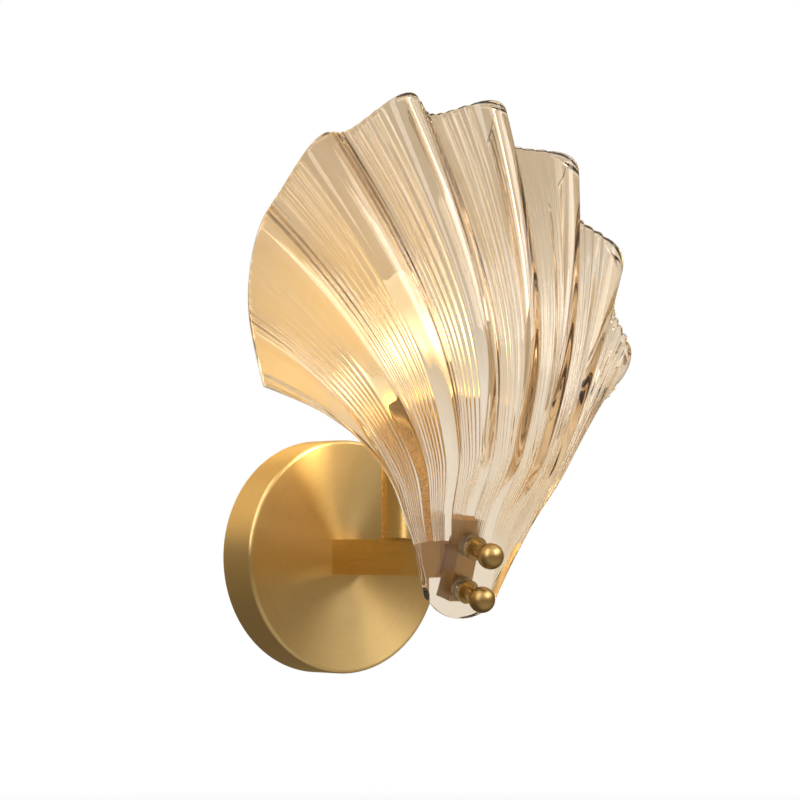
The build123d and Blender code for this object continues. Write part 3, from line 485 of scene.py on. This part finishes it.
def makeFilament():
    material, tree, surface, place = newMaterial("litFilament")
    beads = addNode(tree, "ShaderNodeTexVoronoi", {"Vector": place, "Scale": filament["beadScale"]})
    beads = beads.outputs["Distance"]
    handled = wear(tree, filmGroup, place, Scale=filament["filmScale"], Amount=filament["film"])["Mask"]
    tone = mixColor(tree, mapRange(tree, beads, filament["beadLow"], filament["beadHigh"]),
                    filament["color"], filament["beadColor"])
    tree.links.new(tone, surface.inputs["Base Color"])
    tree.links.new(mixColor(tree, handled, tone, filament["filmColor"]), surface.inputs["Emission Color"])
    surface.inputs["Emission Strength"].default_value = filament["strength"]
    rough = mapRange(tree, handled, 0.0, filament["film"], filament["roughness"], filament["filmRoughness"])
    tree.links.new(rough, surface.inputs["Roughness"])
    bumpSurface(tree, surface, beads, filament["bump"], filament["bumpDistance"])
    return material


# pressed glass of the shell
glass = {
    "tint": (0.97, 0.93, 0.86), "deepTint": (0.93, 0.85, 0.70), "filmScale": 18.0, "film": 0.6,
    "roughness": 0.035, "filmRoughness": 0.05, "fleckRoughness": 0.12,
    "ior": 1.50, "clearShare": 0.985,
    "absorb": (0.88, 0.68, 0.38, 1.0), "density": 60.0,  # how the color deepens with the thickness
    "rippleScale": 26.0, "ripple": 0.02, "rippleDistance": 0.003,
}


def makeShellGlass():
    material, tree, surface, place = newMaterial("champagneGlass")
    handled = wear(tree, filmGroup, place, Scale=glass["filmScale"], Amount=glass["film"])
    tone = mixColor(tree, handled["Mask"], glass["tint"], glass["deepTint"])
    tree.links.new(tone, surface.inputs["Base Color"])
    rough = mapRange(tree, handled["Mask"], 0.0, glass["film"], glass["roughness"],
                     glass["roughness"] + glass["filmRoughness"])
    rough = plus(tree, rough, times(tree, handled["Fleck"], glass["fleckRoughness"]))
    tree.links.new(rough, surface.inputs["Roughness"])
    surface.inputs["IOR"].default_value = glass["ior"]
    surface.inputs["Transmission Weight"].default_value = glass["clearShare"]
    height = wear(tree, rippleGroup, place, Scale=glass["rippleScale"])["Height"]
    bumpSurface(tree, surface, height, glass["ripple"], glass["rippleDistance"])
    inside = addNode(tree, "ShaderNodeVolumeAbsorption", {"Color": glass["absorb"],
                                                          "Density": glass["density"]})
    tree.links.new(inside.outputs[0], tree.nodes["Material Output"].inputs["Volume"])
    return material


# finishes on the solid's nodes
finishes = {name: makeMetal(name, spec) for name, spec in metals.items()}
finishes.update({name: makePlain(name, spec) for name, spec in plains.items()})
finishes["opalBulb"], finishes["stemGlass"] = makeBulbGlass(), makeStemGlass()
finishes["litFilament"] = makeFilament()
wornBy = {
    "brushedDisc": ["canopy"], "brushedArm": ["arm_tube"], "brushedCup": ["holder_cup"],
    "satinBrass": ["upper_ball_nut", "lower_ball_nut", "upper_front_washer", "lower_front_washer"],
    "bracketBrassPaintedShade": ["shell_bracket"],
    "turnedBrass": ["arm_rear_plug", "holder_screws", "holder_contact", "shell_studs"],
    "brassScrew": ["canopy_grub_screws", "bracket_screw"],
    "zincSteel": ["wall_bracket", "arm_nipple", "arm_nipple_washer", "arm_nipple_nut", "holder_nipple",
                  "holder_washer", "holder_nut", "terminal_screws", "block_screw", "earth_screw"],
    "nickelPlate": ["holder_thread_shell", "bulb_cap"],
    "solderTip": ["bulb_contact"],
    "tinnedCopper": ["earth_ring"],
    "glazedCeramic": ["holder_base", "holder_sleeve"],
    "blockPlastic": ["terminal_block"],
    "siliconeRubber": ["rear_pads", "hole_sleeves"],
    "tipInsulator": ["bulb_insulator"],
    "blueInsulation": ["neutral_wire"],
    "brownInsulation": ["live_wire"],
    "earthInsulation": ["earth_wire"],
    "opalBulb": ["bulb_glass"], "stemGlass": ["bulb_stem"], "litFilament": ["bulb_filaments"],
}
for finish, wearers in wornBy.items():
    for wearer in wearers:
        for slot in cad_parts[wearer].material_slots:
            slot.material = finishes[finish]
print("finishes on", sum(map(len, wornBy.values())), "nodes")


# shell, in metres and degrees: u runs from -1 to 1 across it, v from 0 at the lip to 1 at the rim
shell = {  # seated as the solid is, with a smoother curve down its two lower sides
    "armFront": 0.114, "barThickness": 0.0085, "mountDrop": 0.0036, "tilt": 18.0,
    "padThickness": 0.0015, "seatGap": 0.00015, "thickness": 0.006,
    "studSpacing": 0.0223, "padRadius": 0.006, "seatMargin": 0.0035, "seatBlend": 0.035,
    "bulge": 0.034, "domeRise": 0.0986, "domeRounding": 0.055, "domeSlope": 0.5, "domeWidth": 1.185,
    "lipHalfWidth": 0.027, "lipHeight": 0.0244, "lipRise": -0.0024, "lipSpread": 56.0,
    "rimRadius": 0.127, "rimRise": 0.1086, "rimSpread": 101.0, "rimDrop": 0.0142, "rimScallop": 0.001,
    "rimCurl": 0.0025, "rimPower": 5, "perSide": 3.83,  # scallops on each side of the middle
    "fluteDepth": 0.235, "fluteAtRim": 0.1, "fluteStart": 0.19, "fluteBlend": 0.2, "fluteFade": 0.85,
    "edgeCurl": 0.0083, "edgeCurlWidth": 0.15, "edgeCurlBlend": 0.2, "edgeTuck": 0.0083,
    "tongueBow": 0.0044, "sidePower": 4, "innerSpread": 25.0, "outerSpread": 63.3, "leanPower": 1.15,
    "pullLow": 0.0857, "pullHigh": 0.0859, "pullLowLoss": 0.032, "pullHighLoss": 0.044,
}
reeds = {  # the narrow flutes in each trough, as shares of a scallop from the trough's middle
    "edges": (-0.044, 0.044, 0.115, 0.203, 0.283, 0.717),  # the last two bound the crest's plain band
    "crest": 0.5, "sharpness": 1.7, "bandSharpness": 7.0,
    "depth": 0.0016, "start": 0.10, "blend": 0.16, "fullWidth": 0.058, "widthPower": 0.7,
    "perReed": 6, "perBand": 14,  # columns of the mesh
}
skin = {
    "rows": 132, "rounding": 0.0011,
    "clusters": (0.0, 0.0004, 0.0012, 0.0025, 0.0045, 0.0075),  # rows crowded at an edge, to round it
    "rowGap": 0.004, "columnGap": 0.002, "step": 1e-3,
}
drill = {"radius": 0.0045, "reach": 0.008, "sides": 48}

tilt = math.radians(shell["tilt"])
barFront = shell["armFront"] + shell["barThickness"] / math.cos(tilt) - shell["mountDrop"] * math.tan(tilt)
glassFront = shell["padThickness"] + shell["seatGap"] + shell["thickness"]
seatDepth = barFront + glassFront / math.cos(tilt)
apexDepth = seatDepth + shell["bulge"]
seatTop = (shell["studSpacing"] / 2 + shell["padRadius"]) * math.cos(tilt) + shell["seatMargin"]


def ease(share):
    share = np.clip(share, 0, 1)
    return share * share * (3 - 2 * share)


def trough(u):
    return (1 + np.cos(2 * np.pi * u * shell["perSide"])) / 2


def ribPoint(u, v):  # a rib's x and its rise above the mount
    lipAngle, rimAngle = np.radians(shell["lipSpread"]) * u, np.radians(shell["rimSpread"]) * u
    rimRadius = shell["rimRadius"] - shell["rimDrop"] * abs(u) ** shell["sidePower"]
    rimRadius = rimRadius - shell["rimScallop"] * trough(u)
    lowLean = np.radians(shell["innerSpread"]) * u
    highLean = np.radians(shell["outerSpread"]) * abs(u) ** shell["leanPower"] * np.sign(u)
    lowPull = shell["pullLow"] - shell["pullLowLoss"] * u * u
    highPull = shell["pullHigh"] - shell["pullHighLoss"] * u * u
    start = (shell["lipHalfWidth"] * np.sin(lipAngle),
             shell["lipRise"] - shell["lipHeight"] * np.cos(lipAngle))
    end = (rimRadius * np.sin(rimAngle), shell["rimRise"] + rimRadius * np.cos(rimAngle))
    low = (start[0] + lowPull * np.sin(lowLean), start[1] + lowPull * np.cos(lowLean))
    high = (end[0] - highPull * np.sin(highLean), end[1] - highPull * np.cos(highLean))
    weights = ((1 - v) ** 3, 3 * (1 - v) ** 2 * v, 3 * (1 - v) * v * v, v**3)
    return [sum(weight * point[i] for weight, point in zip(weights, (start, low, high, end))) for i in (0, 1)]


def crestPoint(u, v):  # the front of the shell without its flutes
    x, rise = ribPoint(u, v)
    away = np.hypot(shell["domeWidth"] * x, rise - shell["domeRise"])
    slope = np.hypot(away, shell["domeRounding"]) - shell["domeRounding"]
    dome = apexDepth - shell["domeSlope"] * slope
    tongue = seatDepth + rise * math.tan(tilt) - shell["tongueBow"] * u ** shell["sidePower"]
    depth = tongue + ease((rise - seatTop) / shell["seatBlend"]) * (dome - tongue)
    depth = depth - shell["rimCurl"] * v ** shell["rimPower"]
    depth = depth - shell["edgeTuck"] * abs(u) ** 3 * 4 * v * (1 - v)
    return np.stack([x, -depth, rise - shell["mountDrop"]], -1)


def reedGroove(u, v, width):  # how deep the fine flutes cut at each point
    away = abs(u * shell["perSide"] - np.round(u * shell["perSide"]))
    groove = np.zeros_like(u)
    for low, high in zip(reeds["edges"], reeds["edges"][1:]):
        across = abs(2 * away - low - high) / (high - low)
        power = reeds["sharpness"] if high < reeds["crest"] else reeds["bandSharpness"]
        groove = np.where((away >= low) & (away < high), across**power, groove)
    size = np.clip(width / reeds["fullWidth"], 0, 1) ** reeds["widthPower"]
    return reeds["depth"] * size * groove * ease((v - reeds["start"]) / reeds["blend"])


def rowPlaces():
    inset = skin["clusters"][-1] + skin["rowGap"]
    inner = np.linspace(inset, 1 - inset, skin["rows"])
    return np.concatenate([skin["clusters"], inner, [1 - near for near in reversed(skin["clusters"])]])


def columnPlaces():  # the same few columns in every reed, so that each groove keeps its line
    bounds = [-edge for edge in reeds["edges"][4:0:-1]] + list(reeds["edges"][1:])
    most = math.ceil(shell["perSide"]) + 1
    places = []
    for scallop in range(-most, most + 1):
        for low, high in zip(bounds, bounds[1:]):
            steps = reeds["perReed"] if high < reeds["crest"] else reeds["perBand"]
            places += list(scallop + low + (high - low) * np.arange(steps) / steps)
    places = np.unique(np.round(np.array(places) / shell["perSide"], 6))
    edge = np.array(skin["clusters"])
    places = places[abs(places) < 1 - edge[-1] - skin["columnGap"]]
    return np.concatenate([edge - 1, places, 1 - edge[::-1]])


def nearestEnd(steps):  # how far each point of a row of steps is from the nearer end
    run = np.vstack([np.zeros((1, steps.shape[1])), np.cumsum(steps, 0)])
    return np.minimum(run, run[-1:] - run)


def edgeDistance(points):  # along the surface to the nearest free edge
    down = np.linalg.norm(np.diff(points, axis=0), axis=2)
    across = np.linalg.norm(np.diff(points, axis=1), axis=2)
    return np.minimum(nearestEnd(down), nearestEnd(across.T).T)


def shellSkins():  # the front and back of the glass, as rows of points
    u, v = np.meshgrid(columnPlaces(), rowPlaces())
    step = skin["step"]
    right, left = np.minimum(u + step, 1), np.maximum(u - step, -1)
    up, down = np.minimum(v + step, 1), np.maximum(v - step, 0)
    normal = np.cross(crestPoint(right, v) - crestPoint(left, v), crestPoint(u, up) - crestPoint(u, down))
    normal /= np.linalg.norm(normal, axis=2, keepdims=True)
    half = 0.5 / shell["perSide"]
    middle = np.clip(u, half - 1, 1 - half)
    width = np.linalg.norm(crestPoint(middle + half, v) - crestPoint(middle - half, v), axis=2)
    share = shell["fluteDepth"] + shell["fluteAtRim"] * v ** shell["rimPower"]
    share = share * (1 - shell["fluteFade"] * u * u)
    flute = share * width * trough(u) * ease((v - shell["fluteStart"]) / shell["fluteBlend"])
    curl = np.maximum((abs(u) - 1 + shell["edgeCurlWidth"]) / shell["edgeCurlWidth"], 0) ** 2
    curl = shell["edgeCurl"] * curl * ease(v / shell["edgeCurlBlend"])
    base = crestPoint(u, v) - normal * (flute + curl)[..., None]
    near = np.clip(edgeDistance(base), 0, skin["rounding"])
    pulled = skin["rounding"] - np.sqrt(skin["rounding"] ** 2 - (skin["rounding"] - near) ** 2)
    front = base - normal * (reedGroove(u, v, width) + pulled)[..., None]
    back = base - normal * (shell["thickness"] - pulled)[..., None]
    return front, back


def makeShell():
    front, back = shellSkins()
    rows, columns = front.shape[:2]
    index = np.arange(rows * columns).reshape(rows, columns)
    quads = np.stack([index[:-1, :-1], index[:-1, 1:], index[1:, 1:], index[1:, :-1]], -1).reshape(-1, 4)
    behind = quads[:, ::-1] + rows * columns
    loop = np.concatenate([index[0, :-1], index[:-1, -1], index[-1, :0:-1], index[:0:-1, 0]])
    onward = np.roll(loop, -1)
    bridge = np.stack([onward, loop, loop + rows * columns, onward + rows * columns], -1)
    points = np.concatenate([front.reshape(-1, 3), back.reshape(-1, 3)])
    mesh = bpy.data.meshes.new("shellGlass")
    mesh.from_pydata(points.tolist(), [], np.concatenate([quads, behind, bridge]).tolist())
    mesh.validate()
    mesh.polygons.foreach_set("use_smooth", [True] * len(mesh.polygons))
    return addBody("shellGlass", mesh)


def drillShell(body):  # the two stud holes
    out = Vector((0, -math.cos(tilt), -math.sin(tilt)))
    up = Vector((0, -math.sin(tilt), math.cos(tilt)))
    centre = Vector((0, -barFront, -shell["mountDrop"])) + out * (glassFront - shell["thickness"] / 2)
    points, faces, sides = [], [], drill["sides"]
    for place in (-shell["studSpacing"] / 2, shell["studSpacing"] / 2):
        first = len(points)
        for end in (-drill["reach"], drill["reach"]):
            for step in range(sides):
                angle = 2 * math.pi * step / sides
                spoke = Vector((1, 0, 0)) * math.cos(angle) + up * math.sin(angle)
                points.append(centre + up * place + out * end + spoke * drill["radius"])
        ring = list(range(first, first + sides))
        faces += [ring[::-1], [corner + sides for corner in ring]]
        faces += [[a, b, b + sides, a + sides] for a, b in zip(ring, ring[1:] + ring[:1])]
    mesh = bpy.data.meshes.new("drill")
    mesh.from_pydata([tuple(point) for point in points], [], faces)
    cutter = addBody("drill", mesh)
    cut = body.modifiers.new("holes", "BOOLEAN")
    cut.operation, cut.object, cut.solver = "DIFFERENCE", cutter, "MANIFOLD"
    bpy.context.view_layer.update()
    seen = body.evaluated_get(bpy.context.evaluated_depsgraph_get())
    body.data = bpy.data.meshes.new_from_object(seen)
    body.modifiers.clear()
    bpy.data.objects.remove(cutter)


shellBody = makeShell()
print("shell has", len(shellBody.data.polygons), "faces")
drillShell(shellBody)
print("drilled, now", len(shellBody.data.polygons), "faces")
shellBody.data.materials.clear()
shellBody.data.materials.append(makeShellGlass())
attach(shellBody, "fixture")
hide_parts("shell_glass")
print("shell made")


# floor and wall: a flat piece each, whose paint turns to plain white light where the stage ends
def flatPiece(name, corners, material):
    mesh = bpy.data.meshes.new(name)
    mesh.from_pydata(corners, [], [(0, 1, 2, 3)])
    mesh.materials.append(material)
    return addBody(name, mesh)


def paleTowards(tree, surface, share):
    white = addNode(tree, "ShaderNodeEmission", {"Color": (1, 1, 1, 1), "Strength": 1.0}).outputs[0]
    blend = addNode(tree, "ShaderNodeMixShader", {0: share, 1: surface.outputs[0], 2: white})
    tree.links.new(blend.outputs[0], tree.nodes["Material Output"].inputs["Surface"])


floorLook = {
    "drop": 0.22, "half": 3.0,
    "color": (0.86, 0.85, 0.83), "second": (0.90, 0.89, 0.87), "rippleScale": 8.0, "roughness": 0.8,
    "fadeStart": 0.5, "fadeEnd": 2.2,  # where it turns to the white of the background
}


def makeFloor():
    material, tree, surface, place = newMaterial("paleFloor")
    height = wear(tree, rippleGroup, place, Scale=floorLook["rippleScale"])["Height"]
    tone = mixColor(tree, height, floorLook["color"], floorLook["second"])
    tree.links.new(tone, surface.inputs["Base Color"])
    surface.inputs["Roughness"].default_value = floorLook["roughness"]
    away = addNode(tree, "ShaderNodeVectorMath", {0: place}, operation="LENGTH").outputs["Value"]
    paleTowards(tree, surface, mapRange(tree, away, floorLook["fadeStart"], floorLook["fadeEnd"]))
    half = floorLook["half"]
    corners = [(-half, -half, 0), (half, -half, 0), (half, half, 0), (-half, half, 0)]
    body = flatPiece("floor", corners, material)
    body.location.z = cadLow.z - floorLook["drop"]
    body.visible_glossy = False
    return body


# the wall behind the canopy, which only shows through the glass and never to the camera
wallLook = {
    "left": -0.60, "right": 0.45, "low": -0.45, "high": 0.75, "gap": 0.0012,
    "color": (0.40, 0.35, 0.28), "second": (0.48, 0.43, 0.37), "secondShare": 0.3,
    "rippleScale": 30.0, "roughness": 0.9,
    "paleTop": 0.10, "paleFoot": -0.03, "paleLean": 0.6, "paleShare": 0.75,  # it pales low and to the right
}


def makeWall():
    material, tree, surface, place = newMaterial("paintedWall")
    height = wear(tree, rippleGroup, place, Scale=wallLook["rippleScale"])["Height"]
    tone = mixColor(tree, times(tree, height, wallLook["secondShare"]), wallLook["color"], wallLook["second"])
    tree.links.new(tone, surface.inputs["Base Color"])
    surface.inputs["Roughness"].default_value = wallLook["roughness"]
    split = splitVector(tree, place)
    tall = mathNode(tree, "SUBTRACT", split["Z"], times(tree, split["X"], wallLook["paleLean"]))
    pale = mapRange(tree, tall, wallLook["paleTop"], wallLook["paleFoot"])
    paleTowards(tree, surface, times(tree, pale, wallLook["paleShare"]))
    left, right, low, high = (wallLook[side] for side in ("left", "right", "low", "high"))
    body = flatPiece("wall", [(left, 0, low), (right, 0, low), (right, 0, high), (left, 0, high)], material)
    body.location.y = wallLook["gap"]
    body.visible_camera = body.visible_glossy = body.visible_shadow = False
    return body


# lamps
lampColor, lampTarget = (1.0, 0.97, 0.93), (0.0, -0.07, 0.08)
lamps = {
    "keyLamp": dict(place=(0.42, -1.38, 0.92), size=(0.8, 0.8), watts=12),
    "fillLamp": dict(place=(1.25, -1.0, 1.15), size=(1.0, 1.0), watts=8),
    "sideLamp": dict(place=(-1.3, -0.55, 0.95), size=(0.45, 1.8), watts=12),
}


def makeLamp(name, spec):
    data = bpy.data.lights.new(name, "AREA")
    data.shape, data.size, data.size_y = "RECTANGLE", spec["size"][0], spec["size"][1]
    data.energy, data.color = spec["watts"], lampColor
    body = addBody(name, data)
    body.location = spec["place"]
    pointAt(body, lampTarget)
    body.visible_camera = False


# sky: white to the camera, and a quiet room to the brass and the glass
sky = {
    "ambient": 0.42, "ambientColor": (1.0, 0.985, 0.96),
    "above": (1.0, 0.97, 0.92), "aboveBack": (0.80, 0.56, 0.26), "level": (0.28, 0.22, 0.14),
    "belowFront": (0.55, 0.50, 0.43), "belowBack": (0.15, 0.12, 0.08), "through": (0.48, 0.40, 0.29),
    "backFrom": 0.1, "frontFrom": -0.3, "sideStart": 0.3, "sideEnd": 0.9,  # shares of a way's length
    "riseStart": 0.10, "riseEnd": 0.42, "fallStart": -0.1, "fallEnd": -0.5,
}


def makeSky():
    world = bpy.data.worlds.new("studio")
    bpy.context.scene.world = world
    world.use_nodes = True
    tree = world.node_tree
    tree.nodes.clear()
    ray = addNode(tree, "ShaderNodeLightPath").outputs
    seen = mathNode(tree, "MAXIMUM", ray["Is Glossy Ray"], ray["Is Transmission Ray"])
    seen = mathNode(tree, "MAXIMUM", ray["Is Camera Ray"], seen)
    mirrored = mathNode(tree, "SUBTRACT", ray["Is Glossy Ray"], ray["Is Transmission Ray"], clamp=True)
    way = splitVector(tree, addNode(tree, "ShaderNodeTexCoord").outputs["Generated"])
    ahead = mapRange(tree, way["Y"], sky["backFrom"], sky["frontFrom"])
    tall = mixColor(tree, ahead, sky["aboveBack"], sky["above"])
    tall = mixColor(tree, mapRange(tree, way["X"], sky["sideStart"], sky["sideEnd"]), tall, sky["level"])
    room = mixColor(tree, mapRange(tree, way["Z"], sky["riseStart"], sky["riseEnd"]), sky["level"], tall)
    low = mixColor(tree, ahead, sky["belowBack"], sky["belowFront"])
    room = mixColor(tree, mapRange(tree, way["Z"], sky["fallStart"], sky["fallEnd"]), room, low)
    past = mixColor(tree, ahead, (1, 1, 1), sky["through"])
    past = mixColor(tree, ray["Is Camera Ray"], past, (1, 1, 1))
    shown = addNode(tree, "ShaderNodeBackground", {"Color": mixColor(tree, mirrored, past, room),
                                                   "Strength": 1.0})
    lighting = addNode(tree, "ShaderNodeBackground", {"Color": (*sky["ambientColor"], 1),
                                                      "Strength": sky["ambient"]})
    both = addNode(tree, "ShaderNodeMixShader", {0: seen, 1: lighting.outputs[0], 2: shown.outputs[0]})
    out = addNode(tree, "ShaderNodeOutputWorld")
    tree.links.new(both.outputs[0], out.inputs["Surface"])


makeFloor()
makeWall()
for lampName, lampSpec in lamps.items():
    makeLamp(lampName, lampSpec)
makeSky()
lightPaths = {
    "max_bounces": 16, "transmission_bounces": 14, "sample_clamp_indirect": 8.0, "use_denoising": True,
}
for setting, value in lightPaths.items():
    setattr(bpy.context.scene.cycles, setting, value)
print("stage and lamps set")
